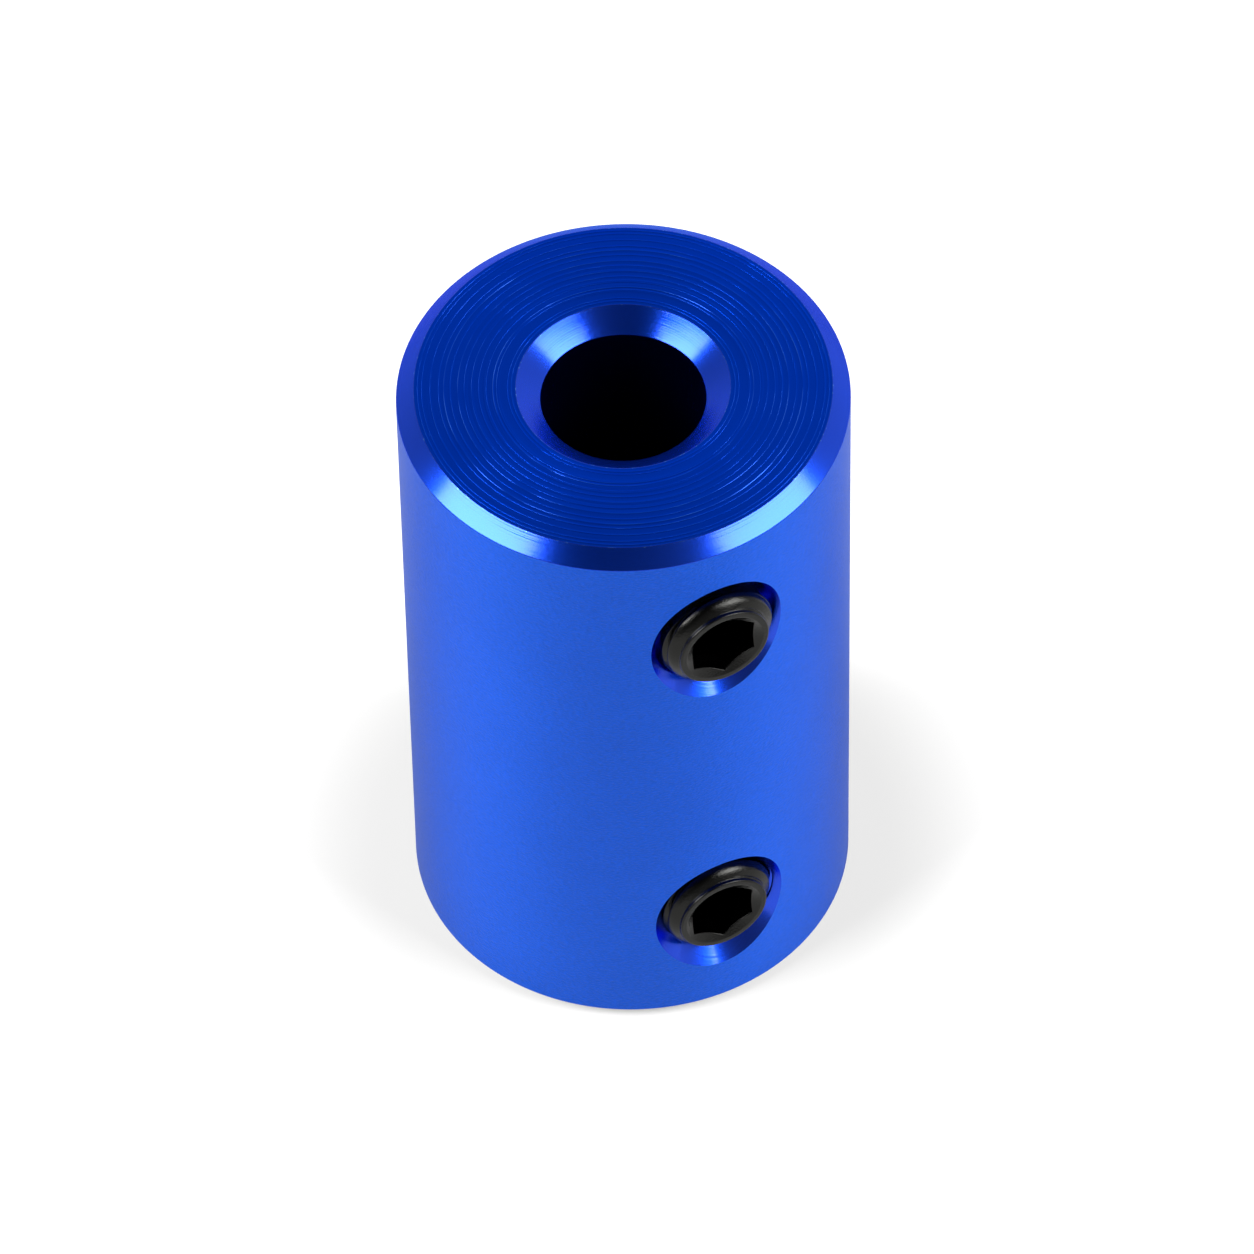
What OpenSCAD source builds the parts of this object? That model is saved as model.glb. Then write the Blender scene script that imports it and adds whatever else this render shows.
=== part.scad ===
// Rigid shaft coupling, standing on one end.
// A one-piece sleeve joins two shafts end to end along Z.
// Two cup-point set screws in one row, facing -Y, clamp one shaft each.
// Lengths are in millimetres. The origin is on the bore's axis, at the lower end face.

/* [Sleeve] */
// Outer diameter of the sleeve
sleeve_d = 14; // [13.5:0.5:20]
// Length of the sleeve from end face to end face
sleeve_length = 23; // [18:0.5:40]
// Radial width of the chamfer round the outer rim of each end
rim_chamfer_width = 0.55; // [0.2:0.05:1.2]
// Depth of that chamfer along the sleeve
rim_chamfer_depth = 0.45; // [0.2:0.05:1.2]

/* [Bore] */
// Diameter of the shafts that the coupling joins
shaft_d = 5; // [3:0.5:5]
// Gap between a shaft and the wall of the bore, on each side
shaft_gap = 0.05; // [0.02:0.01:0.1]
// Radial width of the flare at each mouth of the bore
bore_flare_width = 0.75; // [0.3:0.05:1.5]
// Depth of that flare along the bore
bore_flare_depth = 0.55; // [0.3:0.05:1.2]

/* [Set screw holes] */
// Distance from each end face to the axis of the nearer set screw
screw_inset = 4.65; // [3.2:0.05:6]
// Outer diameter of the screw thread
thread_d = 4; // [3:0.5:4]
// Radial width of the countersink at the mouth of each tapped hole
hole_countersink_width = 0.55; // [0.2:0.05:0.8]
// Depth of that countersink, measured from the sleeve's highest line
hole_countersink_depth = 0.55; // [0.2:0.05:0.8]

/* [Set screws] */
// Overall length of each set screw
screw_length = 4; // [3:0.5:4]
// Clearance between a screw's thread and its hole, on each side
thread_gap = 0.03; // [0.02:0.01:0.1]
// How far the upper screw's head end stands out of the sleeve
upper_screw_standout = 0.3; // [-0.4:0.05:0.6]
// How far the lower screw's head end stands out of the sleeve
lower_screw_standout = 0.05; // [-0.4:0.05:0.6]
// Width and depth of the chamfer at a screw's head end
head_chamfer = 0.47; // [0.3:0.01:0.6]
// Width of the hexagon key, across its flats
key_width = 2; // [1.5:0.1:2]
// Clearance between the key and each flat of the socket
key_gap = 0.02; // [0.01:0.01:0.05]
// Depth of the socket's flats
socket_depth = 1.8; // [1.2:0.1:2]
// Full included angle of the drill point at the socket's floor
drill_angle = 120; // [100:1:150]
// Radial width of the conical lead-in round the socket's mouth
socket_mouth_width = 0.28; // [0.15:0.01:0.3]
// Full included angle of that lead-in
socket_mouth_angle = 120; // [90:1:140]
// Diameter of the sharp rim round the cup
cup_rim_d = 2; // [1.4:0.1:2.4]
// Width of the flat ring between the cup and that rim
cup_land_width = 0.15; // [0.1:0.05:0.3]
// Depth of the hollow in the cup
cup_depth = 0.45; // [0.2:0.05:0.6]
// Full included angle of the cone that leads to the cup
point_angle = 120; // [90:1:140]

/* [Hidden] */

SLEEVE_COLOR = "royalblue";
SCREW_COLOR = "dimgray";
// Steps round a full turn on the preview of every true circle
ROUND_STEPS = 96;
// How far a cutter runs past the face that it opens
CUT_PAST = 1;

sleeve_r = sleeve_d / 2;
bore_r = shaft_d / 2 + shaft_gap;
bore_mouth_r = bore_r + bore_flare_width;
hole_r = thread_d / 2;
upper_screw_z = sleeve_length - screw_inset;
lower_screw_z = screw_inset;

screw_r = hole_r - thread_gap;
cup_rim_r = cup_rim_d / 2;
cup_r = cup_rim_r - cup_land_width;
point_length = (screw_r - cup_rim_r) / tan(point_angle / 2);
socket_flat_r = key_width / 2 + key_gap;
socket_corner_r = socket_flat_r / cos(30);
socket_mouth_r = socket_flat_r + socket_mouth_width;
socket_mouth_depth = socket_mouth_width / tan(socket_mouth_angle / 2);
drill_point_length = socket_flat_r / tan(drill_angle / 2);

// Half of the sleeve's section: chamfered rims outside, flared bore inside
module sleeve_section() {
    polygon([
        [bore_mouth_r, 0],
        [sleeve_r - rim_chamfer_width, 0],
        [sleeve_r, rim_chamfer_depth],
        [sleeve_r, sleeve_length - rim_chamfer_depth],
        [sleeve_r - rim_chamfer_width, sleeve_length],
        [bore_mouth_r, sleeve_length],
        [bore_r, sleeve_length - bore_flare_depth],
        [bore_r, bore_flare_depth]
    ]);
}

// Puts a shape at a screw's height, with its own +Z pointing out of the sleeve towards -Y
module facing_out(height) {
    translate([0, 0, height])
        rotate([90, 0, 0])
            children();
}

// Cutter for one tapped hole: from the bore out through the wall, and its conical mouth
module tapped_hole() {
    cylinder(h = sleeve_r + CUT_PAST, r = hole_r, $fn = ROUND_STEPS);
    slope = hole_countersink_width / hole_countersink_depth;
    translate([0, 0, sleeve_r - hole_countersink_depth])
        cylinder(
            h = hole_countersink_depth + CUT_PAST,
            r1 = hole_r,
            r2 = hole_r + (hole_countersink_depth + CUT_PAST) * slope,
            $fn = ROUND_STEPS
        );
}

// The sleeve, turned from one bar, with its bore and its row of tapped holes
module coupling_sleeve() {
    color(SLEEVE_COLOR)
        difference() {
            rotate_extrude($fn = ROUND_STEPS) sleeve_section();
            for (height = [lower_screw_z, upper_screw_z])
                facing_out(height) tapped_hole();
        }
}

// Half of a set screw's section, from its cup point up to its head end at z = 0
module screw_section() {
    polygon([
        [0, cup_depth - screw_length],
        [cup_r, -screw_length],
        [cup_rim_r, -screw_length],
        [screw_r, point_length - screw_length],
        [screw_r, -head_chamfer],
        [screw_r - head_chamfer, 0],
        [0, 0]
    ]);
}

// Cutter for the hexagon socket: flats, drill point at the floor, and a lead-in at the mouth
module hexagon_socket() {
    translate([0, 0, -socket_depth])
        rotate(30)
            cylinder(h = socket_depth + CUT_PAST, r = socket_corner_r, $fn = 6);
    translate([0, 0, -socket_depth - drill_point_length])
        cylinder(h = drill_point_length, r1 = 0, r2 = socket_flat_r, $fn = ROUND_STEPS);
    translate([0, 0, -socket_mouth_depth])
        cylinder(
            h = socket_mouth_depth + CUT_PAST,
            r1 = socket_flat_r,
            r2 = socket_mouth_r + CUT_PAST * tan(socket_mouth_angle / 2),
            $fn = ROUND_STEPS
        );
}

// A headless screw with a hexagon socket and a cup point, its head end at z = 0
module set_screw() {
    difference() {
        rotate_extrude($fn = ROUND_STEPS) screw_section();
        hexagon_socket();
    }
}

module upper_set_screw() {
    color(SCREW_COLOR)
        facing_out(upper_screw_z)
            translate([0, 0, sleeve_r + upper_screw_standout])
                set_screw();
}

module lower_set_screw() {
    color(SCREW_COLOR)
        facing_out(lower_screw_z)
            translate([0, 0, sleeve_r + lower_screw_standout])
                set_screw();
}

coupling_sleeve();
upper_set_screw();
lower_set_screw();
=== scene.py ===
"""Looks of a rigid shaft coupling: a blue anodised sleeve and its two black set screws.

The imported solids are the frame. The sleeve and the screws are turned, threaded and
countersunk again here as finer meshes, in metres, and dressed with procedural finishes.
The axis of the bore is Z, and the set screws face -Y.
"""

from __future__ import annotations

import logging
import math
from dataclasses import dataclass, field
from enum import Enum
from typing import Callable, Iterable, Sequence

import bpy
from mathutils import Matrix, Vector

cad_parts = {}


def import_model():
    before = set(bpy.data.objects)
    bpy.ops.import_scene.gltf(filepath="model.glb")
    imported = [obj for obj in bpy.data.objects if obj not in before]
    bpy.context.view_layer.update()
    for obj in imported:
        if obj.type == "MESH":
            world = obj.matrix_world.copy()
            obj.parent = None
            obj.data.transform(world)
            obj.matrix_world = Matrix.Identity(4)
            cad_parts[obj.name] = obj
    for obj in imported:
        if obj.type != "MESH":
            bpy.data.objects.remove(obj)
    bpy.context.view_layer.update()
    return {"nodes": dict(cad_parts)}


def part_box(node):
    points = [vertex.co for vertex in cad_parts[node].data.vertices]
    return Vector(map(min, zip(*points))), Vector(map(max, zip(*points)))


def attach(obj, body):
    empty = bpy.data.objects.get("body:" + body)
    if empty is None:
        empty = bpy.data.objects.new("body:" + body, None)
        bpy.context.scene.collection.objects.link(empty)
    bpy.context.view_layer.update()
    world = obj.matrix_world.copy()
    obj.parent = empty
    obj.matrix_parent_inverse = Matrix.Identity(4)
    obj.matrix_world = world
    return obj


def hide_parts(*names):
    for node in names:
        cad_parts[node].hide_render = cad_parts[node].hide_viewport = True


LOG = logging.getLogger("shaft_coupling")

MM = 0.001
# Points closer than this are one point: a tenth of a micrometre
WELD_DISTANCE = 0.0001 * MM
# Edges that turn by more than this stay crisp
CRISP_ANGLE = math.radians(10)
# How far a cutter runs past the surface that it opens
CUT_PAST = 1.0 * MM
# Segments in the rounding of an outline's corner
CORNER_SEGMENTS = 3
# Spacing of a tool's lines after a fine and after a coarse cut
FINE, COARSE = 0.03 * MM, 0.06 * MM
WHITE = (1, 1, 1, 1)
# Blender's names for the nodes that the finishes use most
MATH, VECTOR_MATH = "ShaderNodeMath", "ShaderNodeVectorMath"
NOISE, MAP_RANGE = "ShaderNodeTexNoise", "ShaderNodeMapRange"

Outline = Sequence[tuple[float, float]]
Object = bpy.types.Object
Material = bpy.types.Material
Socket = bpy.types.NodeSocket
Tree = bpy.types.NodeTree


# Modelling helpers


def pick(piece: Object) -> None:
    """Makes one object the only selected and the active one, in object mode.

    Args:
        piece: The object.
    """
    deselect_all()
    piece.select_set(True)
    bpy.context.view_layer.objects.active = piece


def deselect_all() -> None:
    """Leaves object mode with nothing selected."""
    if bpy.context.object and bpy.context.object.mode != "OBJECT":
        bpy.ops.object.mode_set(mode="OBJECT")
    bpy.ops.object.select_all(action="DESELECT")


def settle(piece: Object) -> None:
    """Moves an object's place, turn and size into its mesh."""
    pick(piece)
    bpy.ops.object.transform_apply(location=True, rotation=True, scale=True)


def start_wire(name: str, radius: float, height: float) -> Object:
    """Starts an outline as a single point, and leaves it selected in edit mode.

    Args:
        name: Name of the new object.
        radius: The point's distance from the Z axis.
        height: The point's height.

    Returns:
        The object that holds the point.
    """
    deselect_all()
    bpy.ops.mesh.primitive_plane_add(size=MM, location=(radius, 0, height))
    piece = bpy.context.object
    piece.name = name
    settle(piece)
    bpy.ops.object.mode_set(mode="EDIT")
    bpy.ops.mesh.select_mode(type="VERT")
    bpy.ops.mesh.select_all(action="SELECT")
    bpy.ops.mesh.merge(type="CENTER")
    return piece


def select_points(piece: Object, wanted: Callable[[Vector], bool]) -> None:
    """Selects a piece's points by their place, and stays in edit mode.

    Args:
        piece: The piece, which is in edit mode.
        wanted: Says of a place whether its point is selected.
    """
    bpy.ops.object.mode_set(mode="OBJECT")
    mesh = piece.data
    for vertex in mesh.vertices:
        vertex.select = wanted(vertex.co)
    for edge in mesh.edges:
        edge.select = all(mesh.vertices[index].select for index in edge.vertices)
    bpy.ops.object.mode_set(mode="EDIT")


def turned_solid(
    name: str, outline: Outline, steps: int, rounded: Sequence[int] = (), edge_round: float = 0.0
) -> Object:
    """Turns a closed outline about Z, as on a lathe.

    Args:
        name: Name of the new object.
        outline: Corners of the half section, as (radius, height).
        steps: Flats round a full turn.
        rounded: Which corners of the outline get a small rounding.
        edge_round: How far that rounding reaches from the corner.

    Returns:
        The closed solid, with its faces pointing outwards.
    """
    piece = start_wire(name, *outline[0])
    corners = [*outline[1:], outline[0]]
    for (radius, height), (next_radius, next_height) in zip(outline, corners):
        step = (next_radius - radius, 0, next_height - height)
        bpy.ops.mesh.extrude_region_move(TRANSFORM_OT_translate={"value": step})
    bpy.ops.mesh.select_all(action="SELECT")
    bpy.ops.mesh.remove_doubles(threshold=WELD_DISTANCE)
    if rounded:
        places = [Vector((outline[index][0], 0, outline[index][1])) for index in rounded]
        select_points(piece, lambda co: any((co - p).length < WELD_DISTANCE for p in places))
        bpy.ops.mesh.bevel(offset=edge_round, segments=CORNER_SEGMENTS, affect="VERTICES")
    bpy.ops.mesh.select_all(action="SELECT")
    bpy.ops.mesh.spin(steps=steps, angle=math.tau, center=(0, 0, 0), axis=(0, 0, 1))
    close_skin()
    bpy.ops.object.mode_set(mode="OBJECT")
    return piece


def close_skin() -> None:
    """Welds the doubles of the mesh in edit mode and points its faces outwards."""
    bpy.ops.mesh.select_all(action="SELECT")
    bpy.ops.mesh.remove_doubles(threshold=WELD_DISTANCE)
    bpy.ops.mesh.delete_loose()
    bpy.ops.mesh.select_all(action="SELECT")
    bpy.ops.mesh.normals_make_consistent(inside=False)


class Carving(Enum):
    """What a tool does to the piece that it meets, by Blender's name for it."""

    TAKE_AWAY = "DIFFERENCE"
    KEEP_SHARED = "INTERSECT"


def carve(
    piece: Object, tool: Object, way: Carving = Carving.TAKE_AWAY
) -> None:
    """Cuts a piece with a tool and deletes the tool.

    Args:
        piece: The solid to cut.
        tool: The solid that cuts it.
        way: Whether the tool's space is taken away, or only that is kept.
    """
    pick(piece)
    cut = piece.modifiers.new("cut", "BOOLEAN")
    cut.object = tool
    cut.operation = way.value
    cut.solver = "EXACT"
    bpy.ops.object.modifier_apply(modifier=cut.name)
    bpy.data.objects.remove(tool, do_unlink=True)


def clean_cuts(piece: Object) -> None:
    """Welds what the cuts have left double, and shades the piece with crisp edges.

    Args:
        piece: The piece that was cut.
    """
    pick(piece)
    bpy.ops.object.mode_set(mode="EDIT")
    close_skin()
    bpy.ops.object.mode_set(mode="OBJECT")
    bpy.ops.object.shade_smooth_by_angle(angle=CRISP_ANGLE)


def copy_of(piece: Object, name: str) -> Object:
    """Copies a piece with a mesh of its own.

    Args:
        piece: The piece to copy.
        name: Name of the copy.

    Returns:
        The copy.
    """
    twin = piece.copy()
    twin.data = piece.data.copy()
    twin.name = name
    bpy.context.scene.collection.objects.link(twin)
    return twin


def cone_cutter(
    top_radius: float, top: float, slope: float, depth: float, steps: int
) -> Object:
    """Makes a cutter for a conical mouth about Z, which runs on past its top.

    Args:
        top_radius: Radius of the mouth.
        top: Height of the mouth.
        slope: How much the radius grows with each unit of height.
        depth: How far the cone reaches below the mouth.
        steps: Flats round a full turn.

    Returns:
        The cutter.
    """
    deselect_all()
    bpy.ops.mesh.primitive_cone_add(
        vertices=steps,
        radius1=top_radius - depth * slope,
        radius2=top_radius + CUT_PAST * slope,
        depth=depth + CUT_PAST,
        location=(0, 0, top + (CUT_PAST - depth) / 2),
    )
    cutter = bpy.context.object
    settle(cutter)
    return cutter


# Colours and nodes


def linear_rgba(hex_colour: str) -> tuple[float, float, float, float]:
    """Turns an sRGB hex colour into linear light.

    Args:
        hex_colour: Colour such as "#1952D7".

    Returns:
        Red, green, blue and an alpha of 1.
    """
    digits = hex_colour.lstrip("#")
    channels = [int(digits[i : i + 2], 16) / 255 for i in (0, 2, 4)]
    light = [c / 12.92 if c <= 0.04045 else ((c + 0.055) / 1.055) ** 2.4 for c in channels]
    return light[0], light[1], light[2], 1.0


def add_node(
    tree: Tree,
    kind: str,
    inputs: dict[str | int, object] | Sequence[object] = (),
    **settings: object,
) -> bpy.types.Node:
    """Adds one node with its settings and links.

    Args:
        tree: The node tree that gets it.
        kind: Blender's name for the node type.
        inputs: A value or another node's output socket for each input, by name or in order.
        settings: Properties of the node, such as operation.

    Returns:
        The new node.
    """
    node = tree.nodes.new(kind)
    for name, value in settings.items():
        setattr(node, name, value)
    for key, value in inputs.items() if isinstance(inputs, dict) else enumerate(inputs):
        if isinstance(value, Socket):
            tree.links.new(value, node.inputs[key])
        else:
            node.inputs[key].default_value = value
    return node


def new_material(name: str) -> tuple[Material, Tree, bpy.types.Node]:
    """Makes an empty node material.

    Args:
        name: The finish's own name.

    Returns:
        The material, its node tree and its output node.
    """
    material = bpy.data.materials.new(name)
    material.use_nodes = True
    tree = material.node_tree
    tree.nodes.clear()
    return material, tree, add_node(tree, "ShaderNodeOutputMaterial")


@dataclass(frozen=True)
class CutTexture:
    """What one machining step leaves on a surface. Sizes are in metres.

    The dye is the colour of a straight reflection, and the edge that of a grazing one.
    The metal is how much of the light the metal reflects; the dye scatters the rest.
    The lay is how much more the surface scatters across its tool lines than along them.
    The oxide is how clearly the glassy layer shows as a white reflection of its own. The
    higher its index, the less that reflection grows towards grazing angles.
    The ridge sheen is how far the colour pales on top of the rings: a painted highlight for the
    light that the ridges catch.
    """

    name: str
    dye: str
    edge: str
    roughness: float
    line_pitch: float
    line_depth: float
    metal: float = 1.0
    lay: float = 0.0
    oxide: float = 0.0
    oxide_roughness: float = 0.12
    oxide_ior: float = 1.7
    ring_depth: float = 0.0
    grain_depth: float = 0.0
    ridge_sheen: float = 0.0


class CutSurface(Enum):
    """The surfaces of the sleeve, by how each was machined before it was dyed."""

    SATIN_WALL = CutTexture(
        name="satin_anodised_wall",
        dye="#095DE0",
        edge="#FFFFFF",
        roughness=0.45,
        line_pitch=FINE,
        line_depth=0.0015 * MM,
        lay=0.75,
        oxide=0.12,
        oxide_roughness=0.2,
        grain_depth=0.02 * MM,
    )
    FACED_END = CutTexture(
        name="faced_anodised_end",
        dye="#0346E1",
        edge="#7090FF",
        roughness=0.3,
        line_pitch=FINE,
        line_depth=0.0006 * MM,
        lay=0.5,
        ring_depth=0.009 * MM,
        ridge_sheen=0.6,
    )
    BRIGHT_BEVEL = CutTexture(
        name="bright_anodised_bevel",
        dye="#0346E1",
        edge="#00B0FF",
        roughness=0.24,
        line_pitch=COARSE,
        line_depth=0.003 * MM,
        metal=0.93,
        lay=0.4,
        oxide=0.1,
        oxide_roughness=0.14,
        oxide_ior=3.0,
    )
    TAPPED_HOLE = CutTexture(
        name="tapped_anodised_hole",
        dye="#0346E1",
        edge="#00B0FF",
        roughness=0.24,
        line_pitch=COARSE,
        line_depth=0.002 * MM,
        oxide=0.12,
        oxide_ior=3.0,
    )
    # Painted shade: the bore's dye is near black, for the shade deep inside the bore
    REAMED_BORE = CutTexture(
        name="reamed_bore_painted_shade",
        dye="#010C50",
        edge="#203060",
        roughness=0.4,
        line_pitch=COARSE,
        line_depth=0.0005 * MM,
        oxide=0.1,
    )


@dataclass(frozen=True)
class AnodisedAluminium:
    """Aluminium under a clear oxide that is dyed blue.

    The metal gives a saturated blue reflection that pales at grazing angles, and the
    oxide on top a faint white one. Tool lines run round the bore's axis everywhere, so
    they stretch each highlight across themselves.
    """

    # Highlights stretch across the tool lines: this share of a turn away from them
    quarter_turn: float = 0.25
    # Where the oxide is worn thin in nicks, less dye is left and the colour pales; the ring ridges
    # get the same pale colour as a painted highlight
    thin_dye_and_sheen: str = "#5C9BFF"
    # Spacing of the rings that the facing tool leaves
    ring_pitch: float = 0.21 * MM
    # They stray from it by up to this many rings, and this often to a ring
    ring_drift: float = 1.5
    ring_drift_rate: float = 0.9
    # The power that narrows a scallop's rise to the ridge at its edge
    ridge_sharpness: float = 12.0
    # The ridges go from worn off to whole between these levels of the noise
    ridge_levels: tuple[float, float] = (0.35, 0.65)
    # Tool lines and rings fade in and out over this distance
    fade_size: float = 1.4 * MM
    # The dye bath leaves clouds of this size and contrast
    cloud_size: float = 4.0 * MM
    cloud_contrast: float = 0.14
    # The satin grain is finer than this; it is drawn as coarse as it needs to show
    grain_size: float = 0.12 * MM
    # The blasted and turned grain is longer round the axis than up the wall
    grain_stretch: float = 2.2
    # How far the dye's brightness strays from one grain to the next
    grain_contrast: float = 0.14
    # Where two faces meet at the rim and at the mouth, small nicks show pale
    nicked_radii: tuple[float, ...] = ()
    nick_size: float = 0.09 * MM
    # Away from the edge the noise loses this much with each step of so many nick sizes
    nick_thinning: float = 0.12
    nick_step: float = 0.35
    # Nicks go from none to whole between these levels of the noise
    nick_levels: tuple[float, float] = (0.56, 0.64)
    # Tool lines are drawn against radius plus this share of height, which differs along
    # every face, cone and wall of the section
    height_share: float = 0.37

    def build(self, surface: CutSurface) -> Material:
        """Makes the material of one machined surface.

        Args:
            surface: Which surface it is for.

        Returns:
            The finished material.
        """
        cut = surface.value
        material, tree, output = new_material(cut.name)
        place = add_node(tree, "ShaderNodeTexCoord").outputs["Object"]
        radius, along = self._round_the_axis(tree, place)
        height = self._tool_lines(tree, place, along, cut)
        ridge: Socket | None = None
        if cut.ring_depth:
            rings, ridge = self._rings(tree, place, radius, cut)
            height = add_node(tree, MATH, [height, rings], operation="ADD").outputs[0]
        grain: Socket | None = None
        if cut.grain_depth:
            grain = self._grain(tree, place)
            terms = [grain, cut.grain_depth / MM, height]
            height = add_node(tree, MATH, terms, operation="MULTIPLY_ADD").outputs[0]
        bump = {"Height": height, "Strength": 1.0, "Distance": MM}
        relief = add_node(tree, "ShaderNodeBump", bump)
        shader = add_node(
            tree,
            "ShaderNodeBsdfPrincipled",
            {
                "Base Color": self._colour(tree, place, radius, cut, ridge, grain),
                "Metallic": cut.metal,
                "Specular Tint": linear_rgba(cut.edge),
                "Roughness": cut.roughness,
                "Anisotropic": cut.lay,
                "Anisotropic Rotation": self.quarter_turn,
                "Tangent": self._round_direction(tree, place),
                "Normal": relief.outputs["Normal"],
                "Coat Weight": cut.oxide,
                "Coat IOR": cut.oxide_ior,
                "Coat Roughness": cut.oxide_roughness,
                "Coat Normal": relief.outputs["Normal"],
            },
        )
        tree.links.new(shader.outputs["BSDF"], output.inputs["Surface"])
        return material

    def _round_the_axis(self, tree: Tree, place: Socket) -> tuple[Socket, Socket]:
        """Measures a point's distance from the axis and its way along the section.

        Args:
            tree: The material's node tree.
            place: The point's place.

        Returns:
            The distance from the axis, and the way along the section.
        """
        level = add_node(tree, VECTOR_MATH, [place, (1, 1, 0)], operation="MULTIPLY").outputs[0]
        radius = add_node(tree, VECTOR_MATH, [level], operation="LENGTH").outputs["Value"]
        height = add_node(tree, "ShaderNodeSeparateXYZ", [place]).outputs["Z"]
        terms = [height, self.height_share, radius]
        return radius, add_node(tree, MATH, terms, operation="MULTIPLY_ADD").outputs[0]

    def _round_direction(self, tree: Tree, place: Socket) -> Socket:
        """Gives the direction round the axis, in which the tool lines run."""
        pair = [(0, 0, 1), place]
        across = add_node(tree, VECTOR_MATH, pair, operation="CROSS_PRODUCT").outputs[0]
        return add_node(tree, VECTOR_MATH, [across], operation="NORMALIZE").outputs[0]

    def _tool_lines(self, tree: Tree, place: Socket, along: Socket, cut: CutTexture) -> Socket:
        """Draws fine lines round the axis that fade in and out.

        Args:
            tree: The material's node tree.
            place: The point's place.
            along: Its way along the section.
            cut: The surface's texture.

        Returns:
            The height of the lines, in millimetres.
        """
        close = {"W": along, "Scale": 1 / cut.line_pitch, "Roughness": 0.7}
        lines = add_node(tree, NOISE, close, noise_dimensions="1D").outputs[0]
        wide = {"Vector": place, "Scale": 1 / self.fade_size, "Detail": 1.0}
        # The fading is a half on average, so the lines get their depth from twice as much
        terms = [add_node(tree, NOISE, wide).outputs[0], 2 * cut.line_depth / MM]
        strength = add_node(tree, MATH, terms, operation="MULTIPLY").outputs[0]
        return add_node(tree, MATH, [lines, strength], operation="MULTIPLY").outputs[0]

    def _rings(
        self, tree: Tree, place: Socket, radius: Socket, cut: CutTexture
    ) -> tuple[Socket, Socket]:
        """Draws the shallow scallops of the facing tool, with a sharp ridge between two.

        Args:
            tree: The material's node tree.
            place: The point's place.
            radius: Its distance from the axis.
            cut: The surface's texture.

        Returns:
            The height of the rings in millimetres, and how near a point is to a ridge, 0 to 1.
        """
        often = {"W": radius, "Scale": self.ring_drift_rate / self.ring_pitch}
        drift = add_node(tree, NOISE, often, noise_dimensions="1D").outputs[0]
        even = add_node(tree, MATH, [radius, self.ring_pitch], operation="DIVIDE").outputs[0]
        terms = [drift, self.ring_drift, even]
        turns = add_node(tree, MATH, terms, operation="MULTIPLY_ADD").outputs[0]
        share = add_node(tree, MATH, [turns], operation="FRACT").outputs[0]
        within = add_node(tree, MATH, [share, 2.0, -1.0], operation="MULTIPLY_ADD").outputs[0]
        scallop = add_node(tree, MATH, [within, within], operation="MULTIPLY").outputs[0]
        wide = {"Vector": place, "Scale": 1 / self.fade_size}
        low, high = self.ridge_levels
        span = {"Value": add_node(tree, NOISE, wide).outputs[0], "From Min": low, "From Max": high}
        kept = add_node(tree, MAP_RANGE, span).outputs[0]
        terms = [scallop, self.ridge_sharpness]
        sharp = add_node(tree, MATH, terms, operation="POWER").outputs[0]
        ridge = add_node(tree, MATH, [sharp, kept], operation="MULTIPLY").outputs[0]
        both = add_node(tree, MATH, [ridge, scallop], operation="ADD").outputs[0]
        terms = [both, cut.ring_depth / MM]
        return add_node(tree, MATH, terms, operation="MULTIPLY").outputs[0], ridge

    def _grain(self, tree: Tree, place: Socket) -> Socket:
        """Draws the satin grain, from 0 to 1, longer round the axis than up the wall."""
        terms = [place, (1, 1, self.grain_stretch)]
        stretched = add_node(tree, VECTOR_MATH, terms, operation="MULTIPLY").outputs[0]
        close = {"Vector": stretched, "Scale": 1 / self.grain_size, "Roughness": 0.6}
        return add_node(tree, NOISE, close).outputs[0]

    def _colour(
        self,
        tree: Tree,
        place: Socket,
        radius: Socket,
        cut: CutTexture,
        ridge: Socket | None,
        grain: Socket | None,
    ) -> Socket:
        """Mixes the dye, a little uneven, with its paler tone in nicks and, as a painted
        highlight, on the ring ridges.

        Args:
            tree: The material's node tree.
            place: The point's place.
            radius: Its distance from the axis.
            cut: The surface's texture.
            ridge: How near a point is to the top of a ridge, if there are ridges.
            grain: The satin grain, if there is one.

        Returns:
            The colour.
        """
        swing = self.cloud_contrast
        wide = {"Vector": place, "Scale": 1 / self.cloud_size}
        terms = [add_node(tree, NOISE, wide).outputs[0], swing, 1 - swing / 2]
        level = add_node(tree, MATH, terms, operation="MULTIPLY_ADD").outputs[0]
        if grain:
            # The noise strays by about a quarter from its mean of a half
            swing = 4 * self.grain_contrast
            terms = [grain, swing, -swing / 2]
            stray = add_node(tree, MATH, terms, operation="MULTIPLY_ADD").outputs[0]
            level = add_node(tree, MATH, [level, stray], operation="ADD").outputs[0]
        dyed = {0: linear_rgba(cut.dye)[:3], "Scale": level}
        colour = add_node(tree, VECTOR_MATH, dyed, operation="SCALE").outputs[0]
        if ridge:
            # Painted highlight: the ring ridges are paled as if they caught the light
            ridge_highlight = add_node(tree, MATH, [ridge, cut.ridge_sheen], operation="MULTIPLY").outputs[0]
            colour = self._paled(tree, colour, ridge_highlight)
        if not self.nicked_radii:
            return colour
        return self._paled(tree, colour, self._nicks(tree, place, radius))

    def _paled(self, tree: Tree, colour: Socket, share: Socket) -> Socket:
        """Mixes a colour with the pale tone of thin dye and painted sheen, by a share from 0 to 1.
        """
        pair = {"Factor": share, "A": colour, "B": linear_rgba(self.thin_dye_and_sheen)}
        return add_node(tree, "ShaderNodeMix", pair, data_type="RGBA").outputs["Result"]

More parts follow.
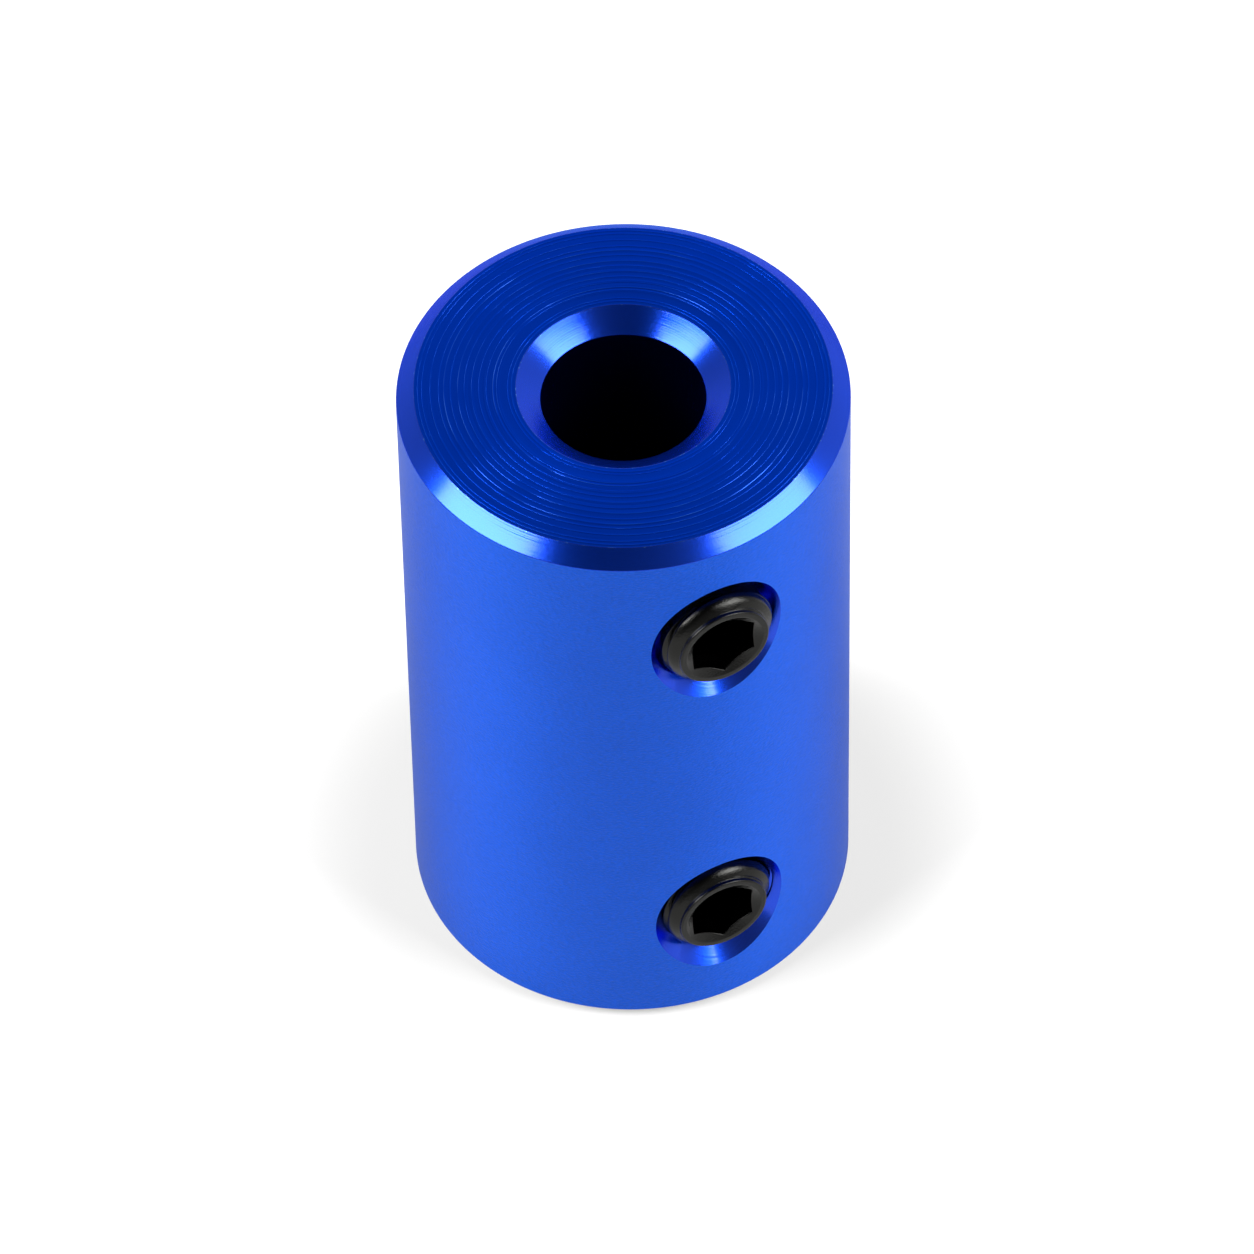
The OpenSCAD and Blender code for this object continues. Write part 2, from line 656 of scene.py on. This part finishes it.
    def _nicks(self, tree: Tree, place: Socket, radius: Socket) -> Socket:
        """Scatters small nicks along the edges of the end faces.

        Args:
            tree: The material's node tree.
            place: The point's place.
            radius: Its distance from the axis.

        Returns:
            How much of a nick is at a point, from 0 to 1.
        """
        close = {"Vector": place, "Scale": 1 / self.nick_size, "Detail": 3.0, "Roughness": 0.7}
        specks = add_node(tree, NOISE, close).outputs[0]
        nicks: Socket | None = None
        for edge in self.nicked_radii:
            past = add_node(tree, MATH, [radius, edge], operation="SUBTRACT").outputs[0]
            away = add_node(tree, MATH, [past], operation="ABSOLUTE").outputs[0]
            terms = [away, self.nick_step * self.nick_size]
            steps = add_node(tree, MATH, terms, operation="DIVIDE").outputs[0]
            terms = [steps, -self.nick_thinning, specks]
            reach = add_node(tree, MATH, terms, operation="MULTIPLY_ADD").outputs[0]
            if nicks is not None:
                reach = add_node(tree, MATH, [nicks, reach], operation="MAXIMUM").outputs[0]
            nicks = reach
        low, high = self.nick_levels
        span = {"Value": nicks, "From Min": low, "From Max": high}
        return add_node(tree, MAP_RANGE, span).outputs[0]


@dataclass(frozen=True)
class BlackOxideSteel:
    """Alloy steel blackened in a hot salt bath and oiled: near black, with clear grey lights."""

    tone: str = "#2F2F2E"
    roughness: float = 0.17
    # Tumbling has rounded every edge a little
    edge_round: float = 0.05 * MM
    edge_samples: int = 8
    # The oxide's crystals are finer than this; they are drawn as coarse as they need to show
    crystal_size: float = 0.06 * MM
    crystal_depth: float = 0.009 * MM
    # The oil lies unevenly, which makes patches of this size more or less rough
    oil_size: float = 0.5 * MM
    oil_swing: float = 0.06
    oil_levels: tuple[float, float] = (0.3, 0.7)

    def build(self) -> Material:
        """Makes the material.

        Returns:
            The finished material.
        """
        material, tree, output = new_material("black_oxide_steel")
        place = add_node(tree, "ShaderNodeTexCoord").outputs["Object"]
        close = {"Vector": place, "Scale": 1 / self.crystal_size, "Detail": 3.0}
        close["Roughness"] = 0.65
        terms = [add_node(tree, NOISE, close).outputs[0], self.crystal_depth / MM]
        height = add_node(tree, MATH, terms, operation="MULTIPLY").outputs[0]
        edges = {"Radius": self.edge_round}
        rounded = add_node(tree, "ShaderNodeBevel", edges, samples=self.edge_samples)
        bump = {"Height": height, "Strength": 1.0, "Distance": MM}
        bump["Normal"] = rounded.outputs["Normal"]
        relief = add_node(tree, "ShaderNodeBump", bump)
        oil = add_node(tree, NOISE, {"Vector": place, "Scale": 1 / self.oil_size}).outputs[0]
        low, high = self.oil_levels
        span = {"Value": oil, "From Min": low, "From Max": high}
        span["To Min"] = self.roughness - self.oil_swing
        span["To Max"] = self.roughness + self.oil_swing
        shader = add_node(
            tree,
            "ShaderNodeBsdfPrincipled",
            {
                "Base Color": linear_rgba(self.tone),
                "Metallic": 1.0,
                "Roughness": add_node(tree, MAP_RANGE, span).outputs[0],
                "Normal": relief.outputs["Normal"],
            },
        )
        tree.links.new(shader.outputs["BSDF"], output.inputs["Surface"])
        return material


@dataclass(frozen=True)
class PaperSweep:
    """White paper that the coupling stands on: matt, and plain white to the camera.

    Only the camera sees its glow, which grows away from the coupling, so the shadow
    stays close to the coupling's foot as in the photograph.
    """

    tone: str = "#DBDBDB"
    near_glow: float = 0.27
    far_glow: float = 0.5
    near_radius: float = 8.0 * MM
    far_radius: float = 13.0 * MM

    def build(self) -> Material:
        """Makes the material.

        Returns:
            The finished material.
        """
        material, tree, output = new_material("white_paper_sweep")
        matt = add_node(tree, "ShaderNodeBsdfDiffuse", {"Color": linear_rgba(self.tone)})
        place = add_node(tree, "ShaderNodeTexCoord").outputs["Object"]
        away = add_node(tree, VECTOR_MATH, [place], operation="LENGTH").outputs["Value"]
        # Painted shade and light: the weaker glow near the coupling darkens the paper round its
        # foot, and the stronger glow farther out whitens the shadow away
        span = {"Value": away, "From Min": self.near_radius, "From Max": self.far_radius}
        span |= {"To Min": self.near_glow, "To Max": self.far_glow}
        level = add_node(tree, MAP_RANGE, span, interpolation_type="SMOOTHSTEP").outputs[0]
        seen = add_node(tree, "ShaderNodeLightPath").outputs["Is Camera Ray"]
        strength = add_node(tree, MATH, [seen, level], operation="MULTIPLY").outputs[0]
        glow = add_node(tree, "ShaderNodeEmission", {"Color": WHITE, "Strength": strength})
        both = add_node(tree, "ShaderNodeAddShader", [matt.outputs[0], glow.outputs[0]])
        tree.links.new(both.outputs[0], output.inputs["Surface"])
        return material


@dataclass(frozen=True)
class MetricThread:
    """A coarse M4 thread. Sizes are in metres."""

    diameter: float = 4.0 * MM
    pitch: float = 0.7 * MM
    # Half the angle of the tool that cuts it
    flank_angle: float = math.radians(30)
    # How far below the head end a ridge crosses the top of the hole
    first_ridge_depth: float = 0.42 * MM
    crest_round: float = 0.02 * MM
    crest_segments: int = 2
    # Whole turns by which a rod runs on past each end
    spare_turns: int = 2
    steps: int = 96

    @property
    def depth(self) -> float:
        """Height of a ridge: 17/24 of the sharp triangle's height."""
        return self.pitch * math.cos(self.flank_angle) * 17 / 24

    def rod(self, name: str, crest_radius: float, length: float) -> Object:
        """Makes a right-hand threaded rod about Z, closed at both ends.

        Args:
            name: Name of the new object.
            crest_radius: Radius of the ridges' tops.
            length: How far it reaches down from z = 0.

        Returns:
            The rod, which runs on past both ends of that length.
        """
        crest_flat = self.pitch / 8
        flank = self.depth * math.tan(self.flank_angle)
        root_flat = self.pitch - crest_flat - 2 * flank
        turns = math.ceil(length / self.pitch) + 2 * self.spare_turns
        # The section starts half a pitch below a ridge, on +X, a quarter turn before the top
        top_ridge = -self.first_ridge_depth + self.spare_turns * self.pitch
        bottom = top_ridge - self.pitch / 4 - self.pitch / 2 - (turns - 1) * self.pitch
        root_radius = crest_radius - self.depth
        rod = start_wire(name, root_radius, bottom)
        for step in (
            (0, 0, root_flat / 2),
            (self.depth, 0, flank),
            (0, 0, crest_flat),
            (-self.depth, 0, flank),
            (0, 0, root_flat / 2),
        ):
            bpy.ops.mesh.extrude_region_move(TRANSFORM_OT_translate={"value": step})
        select_points(rod, lambda co: co.x > crest_radius - WELD_DISTANCE)
        crest = {"offset": self.crest_round, "segments": self.crest_segments}
        bpy.ops.mesh.bevel(**crest, affect="VERTICES")
        bpy.ops.object.mode_set(mode="OBJECT")
        self._wind(rod, turns)
        self._close_ends()
        return rod

    def _wind(self, rod: Object, turns: int) -> None:
        """Winds the section of one pitch up into a helix.

        Args:
            rod: The object that holds the section.
            turns: Number of turns.
        """
        helix = rod.modifiers.new("helix", "SCREW")
        helix.axis = "Z"
        helix.angle = math.tau
        helix.screw_offset = self.pitch
        helix.iterations = turns
        helix.steps = self.steps
        helix.render_steps = self.steps
        bpy.ops.object.modifier_apply(modifier=helix.name)
        bpy.ops.object.mode_set(mode="EDIT")
        bpy.ops.mesh.select_all(action="SELECT")
        # The turns are strips side by side until the edges that they share are welded
        bpy.ops.mesh.remove_doubles(threshold=10 * WELD_DISTANCE)

    def _close_ends(self) -> None:
        """Closes both open ends of the helix in edit mode, each with a fan of faces."""
        bpy.ops.mesh.select_all(action="DESELECT")
        bpy.ops.mesh.select_non_manifold(
            use_wire=False, use_multi_face=False, use_non_contiguous=False, use_verts=False
        )
        bpy.ops.mesh.extrude_region_move()
        bpy.ops.mesh.merge(type="COLLAPSE")
        close_skin()
        bpy.ops.object.mode_set(mode="OBJECT")


@dataclass
class FrameSolid:
    """One solid of the frame, the body that it moves with, and its box."""

    node: str
    body: str
    low: Vector = field(init=False)
    high: Vector = field(init=False)

    def __post_init__(self) -> None:
        """Reads the solid's box from the frame."""
        self.low, self.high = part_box(self.node)


@dataclass
class ScrewSeat(FrameSolid):
    """A tapped hole, with its place read from the solid of the screw that fills it."""

    @property
    def height(self) -> float:
        """Height of the hole's axis."""
        return (self.low.z + self.high.z) / 2

    @property
    def screw_radius(self) -> float:
        """Outer radius of the screw's thread."""
        return (self.high.z - self.low.z) / 2

    @property
    def screw_length(self) -> float:
        """Length of the screw from its head end to its point."""
        return self.high.y - self.low.y

    def face_out(self, piece: Object, surface_y: float) -> None:
        """Turns a shape made along +Z so that it points along -Y out of the hole.

        Args:
            piece: The shape, with its head end at the origin.
            surface_y: Where its head end goes along Y.
        """
        piece.rotation_euler = (math.radians(90), 0, 0)
        piece.location = (0, surface_y, self.height)
        settle(piece)


@dataclass
class SetScrew:
    """A headless screw with a hexagon socket and a cup point. Sizes are in metres."""

    seats: Sequence[ScrewSeat]
    thread: MetricThread
    head_chamfer: float = 0.47 * MM
    rim_round: float = 0.05 * MM
    # The blank is this much wider all round than the thread that is cut from it
    blank_allowance: float = 0.05 * MM
    # The face stands a little proud on a ring, with a shallow neck behind it
    neck_depth: float = 0.13 * MM
    # The first turn of the thread is turned down to this radius, with a round shoulder
    lead_radius: float = 1.82 * MM
    lead_depth: float = 0.6 * MM
    shoulder_round: float = 0.47 * MM
    shoulder_turn: float = math.radians(50)
    shoulder_steps: int = 6
    key_half_width: float = 1.02 * MM
    socket_depth: float = 1.8 * MM
    drill_half_angle: float = math.radians(60)
    mouth_width: float = 0.28 * MM
    mouth_half_angle: float = math.radians(60)
    cup_rim_radius: float = 1.0 * MM
    cup_land: float = 0.15 * MM
    cup_depth: float = 0.45 * MM
    point_half_angle: float = math.radians(60)
    steps: int = 128

    @property
    def radius(self) -> float:
        """Outer radius of the thread."""
        return self.seats[0].screw_radius

    @property
    def length(self) -> float:
        """Length from the head end to the point."""
        return self.seats[0].screw_length

    def build(self, finish: Material) -> list[tuple[ScrewSeat, Object]]:
        """Models the screw once and puts a copy in each hole.

        Args:
            finish: The material that they get.

        Returns:
            Each hole with its finished screw.
        """
        blank = self._model()
        blank.data.materials.clear()
        blank.data.materials.append(finish)
        placed = []
        for seat in self.seats:
            screw = copy_of(blank, seat.node + "_threaded")
            seat.face_out(screw, seat.low.y)
            placed.append((seat, screw))
        bpy.data.objects.remove(blank, do_unlink=True)
        return placed

    def _model(self) -> Object:
        """Makes the screw about Z, with its head end at the origin.

        Returns:
            The threaded screw with its socket.
        """
        outline = self._outline()
        rim = len(outline) - 2
        screw = turned_solid("set_screw", outline, self.steps, [rim], self.rim_round)
        thread = self.thread.rod("thread", self.radius, self.length)
        carve(screw, thread, Carving.KEEP_SHARED)
        for tool in self._socket_tools():
            carve(screw, tool)
        clean_cuts(screw)
        return screw

    def _outline(self) -> Outline:
        """Half section of the blank, a little wider than the thread that is cut from it.

        Returns:
            Corners as (radius, height), with the face's rim last but one.
        """
        wide = self.radius + self.blank_allowance
        face_radius = self.radius - self.head_chamfer
        point = (wide - self.cup_rim_radius) / math.tan(self.point_half_angle)
        return [
            (0.0, self.cup_depth - self.length),
            (self.cup_rim_radius - self.cup_land, -self.length),
            (self.cup_rim_radius, -self.length),
            (wide, point - self.length),
            (wide, self.lead_radius - wide - self.lead_depth),
            *self._shoulder(),
            (face_radius, -self.neck_depth),
            (face_radius, 0.0),
            (0.0, 0.0),
        ]

    def _shoulder(self) -> Outline:
        """Rounds the outline over from the turned-down thread towards the face.

        Returns:
            Corners as (radius, height).
        """
        reach = self.shoulder_round
        corners = []
        for step in range(self.shoulder_steps + 1):
            turn = self.shoulder_turn * step / self.shoulder_steps
            radius = self.lead_radius - reach * (1 - math.cos(turn))
            corners.append((radius, -self.lead_depth + reach * math.sin(turn)))
        return corners

    def _socket_tools(self) -> Iterable[Object]:
        """Makes the tools that cut the socket: hexagon, drilled floor and lead-in.

        Yields:
            One closed tool after another.
        """
        deselect_all()
        to_corner = self.key_half_width / math.cos(math.radians(30))
        bpy.ops.mesh.primitive_cylinder_add(
            vertices=6,
            radius=to_corner,
            depth=self.socket_depth + CUT_PAST,
            location=(0, 0, (CUT_PAST - self.socket_depth) / 2),
        )
        hexagon = bpy.context.object
        settle(hexagon)
        yield hexagon
        slope = math.tan(self.drill_half_angle)
        drill_depth = self.key_half_width / slope
        yield cone_cutter(self.key_half_width, -self.socket_depth, slope, drill_depth, self.steps)
        slope = math.tan(self.mouth_half_angle)
        mouth_radius = self.key_half_width + self.mouth_width
        yield cone_cutter(mouth_radius, 0.0, slope, mouth_radius / slope, self.steps)


@dataclass
class TurnedSleeve(FrameSolid):
    """The one-piece sleeve: chamfered rims, a flared bore and a row of tapped holes."""

    seats: Sequence[ScrewSeat]
    thread: MetricThread
    rim_chamfer_width: float = 0.55 * MM
    rim_chamfer_depth: float = 0.45 * MM
    bore_radius: float = 2.55 * MM
    flare_width: float = 0.75 * MM
    flare_depth: float = 0.55 * MM
    countersink: float = 0.55 * MM
    # How much the countersink widens with each unit of its depth
    countersink_slope: float = 1.0
    edge_round: float = 0.02 * MM
    steps: int = 360

    @property
    def radius(self) -> float:
        """Outer radius."""
        return self.high.x

    @property
    def length(self) -> float:
        """Length between the end faces."""
        return self.high.z

    @property
    def mouth_radius(self) -> float:
        """Radius of the bore's flared mouth."""
        return self.bore_radius + self.flare_width

    @property
    def face_radius(self) -> float:
        """Outer radius of an end face, inside its chamfer."""
        return self.radius - self.rim_chamfer_width

    def build(self, finish: AnodisedAluminium) -> Object:
        """Models the sleeve and gives each cut surface its finish.

        Args:
            finish: The aluminium's finish.

        Returns:
            The finished sleeve.
        """
        outline = self._outline()
        corners = range(len(outline))
        name = "coupling_sleeve_turned"
        sleeve = turned_solid(name, outline, self.steps, corners, self.edge_round)
        for seat in self.seats:
            for tool in self._hole_tools(seat):
                carve(sleeve, tool)
        clean_cuts(sleeve)
        sleeve.data.materials.clear()
        surfaces = list(CutSurface)
        for surface in surfaces:
            sleeve.data.materials.append(finish.build(surface))
        for polygon in sleeve.data.polygons:
            polygon.material_index = surfaces.index(self._surface_of(polygon))
        return sleeve

    def _outline(self) -> Outline:
        """Half section of the sleeve.

        Returns:
            Corners as (radius, height).
        """
        top = self.length
        return [
            (self.mouth_radius, 0.0),
            (self.face_radius, 0.0),
            (self.radius, self.rim_chamfer_depth),
            (self.radius, top - self.rim_chamfer_depth),
            (self.face_radius, top),
            (self.mouth_radius, top),
            (self.bore_radius, top - self.flare_depth),
            (self.bore_radius, self.flare_depth),
        ]

    def _hole_tools(self, seat: ScrewSeat) -> Iterable[Object]:
        """Makes the tap and the countersink of one hole.

        Args:
            seat: The hole.

        Yields:
            One closed tool after another, in place.
        """
        root_radius = self.thread.diameter / 2
        # Far enough in to open the hole into the bore, without reaching the far wall
        through = self.radius - self.bore_radius / 2
        tap = self.thread.rod("tap", root_radius, through)
        seat.face_out(tap, seat.low.y)
        yield tap
        mouth_radius = root_radius + self.countersink
        slope = self.countersink_slope
        cone = cone_cutter(mouth_radius, 0.0, slope, root_radius, 2 * self.thread.steps)
        seat.face_out(cone, -self.radius)
        yield cone

    def _surface_of(self, polygon: bpy.types.MeshPolygon) -> CutSurface:
        """Tells which machined surface a face belongs to, by its place and direction.

        Args:
            polygon: A face of the sleeve.

        Returns:
            The surface.
        """
        touch, square, tilted = 0.01 * MM, 0.999, 0.00001
        centre, normal = polygon.center, polygon.normal
        reach = math.hypot(centre.x, centre.y)
        lean = (normal.x * centre.x + normal.y * centre.y) / reach
        from_end = min(centre.z, self.length - centre.z)
        if from_end < touch and abs(normal.z) > square:
            return CutSurface.FACED_END
        if from_end < self.flare_depth + self.edge_round and abs(normal.z) > tilted:
            return CutSurface.BRIGHT_BEVEL
        if lean > square and reach > self.radius - touch:
            return CutSurface.SATIN_WALL
        if lean < -square and reach < self.bore_radius + touch:
            return CutSurface.REAMED_BORE
        return CutSurface.TAPPED_HOLE


@dataclass
class PhotoStudio:
    """The floor, the soft lights and the camera. The compass turns with the camera."""

    azimuth: float = math.radians(-24.0)
    elevation: float = math.radians(49.676)
    distance: float = 327.171 * MM
    tilt_down: float = math.radians(50.974)
    heading: float = math.radians(-0.008)
    roll: float = math.radians(-1.148)
    focal_pixels: float = 10647.494
    frame_pixels: int = 1254
    sensor: float = 36.0
    clip_start: float = 10.0 * MM
    floor_reach: float = 3.0
    # Keeps the paper's face clear of the sleeve's lower end face
    floor_gap: float = 0.005 * MM
    softbox_compass: float = math.radians(73)
    softbox_elevation: float = math.radians(39.5)
    # The end of each softbox that is nearer to the camera is tipped up
    softbox_tip: float = math.radians(15)
    softbox_distance: float = 1.0
    softbox_size: tuple[float, float] = (0.68, 0.42)
    left_radiance: float = 11.0
    right_radiance: float = 9.5
    # The room is dim overhead and behind the camera, and paler behind the coupling
    room_level: float = 0.6
    room_slope: Vector = field(default_factory=lambda: Vector((0.15, 0.25, -0.5)))

    def turn(self) -> Matrix:
        """Rotation from the camera's compass to the frame."""
        return Matrix.Rotation(self.azimuth, 3, "Z")

    def add_camera(self, target: Vector) -> Object:
        """Adds the camera at the photograph's viewing angle.

        Args:
            target: Centre of the sleeve's upper end face.

        Returns:
            The camera.
        """
        back = Vector((0, -math.cos(self.elevation), math.sin(self.elevation)))
        ahead, down = math.cos(self.tilt_down), math.sin(self.tilt_down)
        north, east = math.cos(self.heading), math.sin(self.heading)
        forward = Vector((east * ahead, north * ahead, -down))
        level = Vector((north, -east, 0))
        upright = level.cross(forward)
        right = level * math.cos(self.roll) + upright * math.sin(self.roll)
        up = upright * math.cos(self.roll) - level * math.sin(self.roll)
        data = bpy.data.cameras.new("photo_camera")
        data.sensor_width = self.sensor
        data.lens = self.focal_pixels / self.frame_pixels * self.sensor
        data.clip_start = self.clip_start
        camera = bpy.data.objects.new("photo_camera", data)
        bpy.context.scene.collection.objects.link(camera)
        turn = self.turn()
        axes = Matrix((turn @ right, turn @ up, turn @ -forward)).transposed()
        place = target + turn @ back * self.distance
        camera.matrix_world = Matrix.Translation(place) @ axes.to_4x4()
        bpy.context.scene.camera = camera
        return camera

    def add_floor(self, finish: Material) -> Object:
        """Lays the paper under the coupling.

        Args:
            finish: The paper's material.

        Returns:
            The floor.
        """
        deselect_all()
        bpy.ops.mesh.primitive_plane_add(size=self.floor_reach, location=(0, 0, -self.floor_gap))
        floor = bpy.context.object
        floor.name = "paper_sweep"
        floor.data.materials.append(finish)
        return floor

    def add_softbox(self, name: str, compass: float, radiance: float) -> Object:
        """Adds a rectangular soft light that faces the coupling.

        Args:
            name: Name of the light.
            compass: Its angle from the camera's side, positive to the right.
            radiance: Brightness of its front.

        Returns:
            The light.
        """
        level = math.cos(self.softbox_elevation)
        rise = math.sin(self.softbox_elevation)
        aim = Vector((math.sin(compass) * level, -math.cos(compass) * level, rise))
        direction = self.turn() @ aim
        data = bpy.data.lights.new(name, "AREA")
        data.shape = "RECTANGLE"
        data.size, data.size_y = self.softbox_size
        data.energy = radiance * math.pi * data.size * data.size_y
        light = bpy.data.objects.new(name, data)
        bpy.context.scene.collection.objects.link(light)
        light.location = direction * self.softbox_distance
        tip = Matrix.Rotation(math.copysign(self.softbox_tip, -compass), 4, "Z")
        facing = direction.to_track_quat("Z", "Y").to_matrix().to_4x4()
        light.rotation_euler = (facing @ tip).to_euler()
        return light

    def add_room(self) -> bpy.types.World:
        """Adds the room's dim light, which is plain white where the camera sees it.

        Returns:
            The world.
        """
        world = bpy.data.worlds.new("studio_room")
        bpy.context.scene.world = world
        world.use_nodes = True
        tree = world.node_tree
        tree.nodes.clear()
        direction = add_node(tree, "ShaderNodeTexCoord").outputs["Generated"]
        terms = [direction, self.turn() @ self.room_slope]
        lean = add_node(tree, VECTOR_MATH, terms, operation="DOT_PRODUCT").outputs["Value"]
        level = add_node(tree, MATH, [lean, self.room_level], operation="ADD").outputs[0]
        level = add_node(tree, MATH, [level, 0.0], operation="MAXIMUM").outputs[0]
        seen = add_node(tree, "ShaderNodeLightPath").outputs["Is Camera Ray"]
        room = add_node(tree, "ShaderNodeBackground", {"Color": WHITE, "Strength": level})
        white = add_node(tree, "ShaderNodeBackground", {"Color": WHITE, "Strength": 1.0})
        choice = [seen, room.outputs[0], white.outputs[0]]
        either = add_node(tree, "ShaderNodeMixShader", choice)
        output = add_node(tree, "ShaderNodeOutputWorld")
        tree.links.new(either.outputs[0], output.inputs["Surface"])
        return world


def hand_over(piece: Object, body: str, node: str) -> None:
    """Attaches a finished piece to the body that it rides on, and hides the solid that it stands
    for.

    Args:
        piece: The finished piece.
        body: The body that it moves with.
        node: The solid that it stands for.
    """
    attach(piece, body)
    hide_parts(node)
    LOG.info("%s: %d faces, rides on %s", piece.name, len(piece.data.polygons), body)


def main() -> None:
    """Builds the coupling's looks and its stage."""
    logging.basicConfig(level=logging.INFO, format="%(name)s: %(message)s")
    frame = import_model()
    LOG.info("solids in the frame: %s", ", ".join(frame["nodes"]))
    bpy.context.scene.view_settings.view_transform = "Standard"

    thread = MetricThread()
    upper = ScrewSeat("upper_set_screw", "upper_screw")
    lower = ScrewSeat("lower_set_screw", "lower_screw")
    seats = [upper, lower]
    for seat, screw in SetScrew(seats, thread).build(BlackOxideSteel().build()):
        hand_over(screw, seat.body, seat.node)

    sleeve = TurnedSleeve("coupling_sleeve", "sleeve", seats, thread)
    anodised = AnodisedAluminium(nicked_radii=(sleeve.mouth_radius, sleeve.face_radius))
    dressed = sleeve.build(anodised)
    # The white paper in the photograph shows no blue cast, so the sleeve gives it none
    dressed.visible_diffuse = False
    hand_over(dressed, sleeve.body, sleeve.node)

    studio = PhotoStudio()
    studio.add_floor(PaperSweep().build())
    studio.add_softbox("left_softbox", -studio.softbox_compass, studio.left_radiance)
    studio.add_softbox("right_softbox", studio.softbox_compass, studio.right_radiance)
    studio.add_room()
    studio.add_camera(Vector((0, 0, sleeve.length)))


if __name__ == "__main__":
    main()
